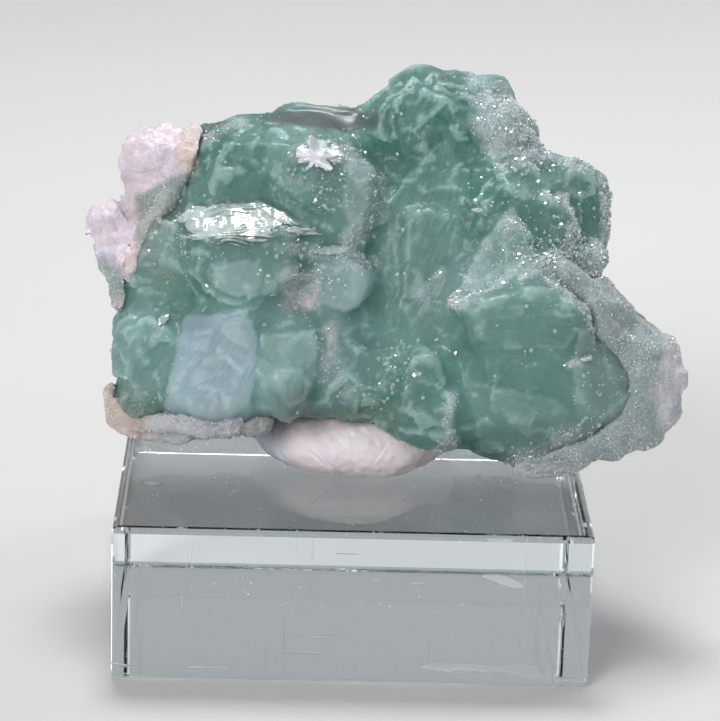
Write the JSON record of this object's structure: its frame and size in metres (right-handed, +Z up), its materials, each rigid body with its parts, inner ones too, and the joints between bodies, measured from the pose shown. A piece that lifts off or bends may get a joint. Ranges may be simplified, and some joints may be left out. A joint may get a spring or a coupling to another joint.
{
  "type": "apophyllite cluster on a display block",
  "caption": "Cluster of blue-green apophyllite crystals on white drusy matrix, held by putty on a clear square display block.",
  "frame": {"origin": "centre of the block's bottom face", "axes": "+Z up; the specimen's face looks towards -Y and leans back; +X is to the right as seen from its face"},
  "size_m": [0.0784, 0.06, 0.0697],
  "materials": {
    "clear_acrylic": "clear cast acrylic, polished, with faint scratches",
    "white_tack": "matte mounting putty with finger ridges",
    "green_apophyllite": "milky blue-green translucent crystal, glassy to pearly",
    "white_druse": "white chalcedony with a fine sparkling druse"
  },
  "bodies": {
    "root": {"acrylic_block": "clear_acrylic", "mounting_putty": "white_tack", "apophyllite_crystals": "green_apophyllite", "chalcedony_matrix": "white_druse"}
  },
  "joints": []
}
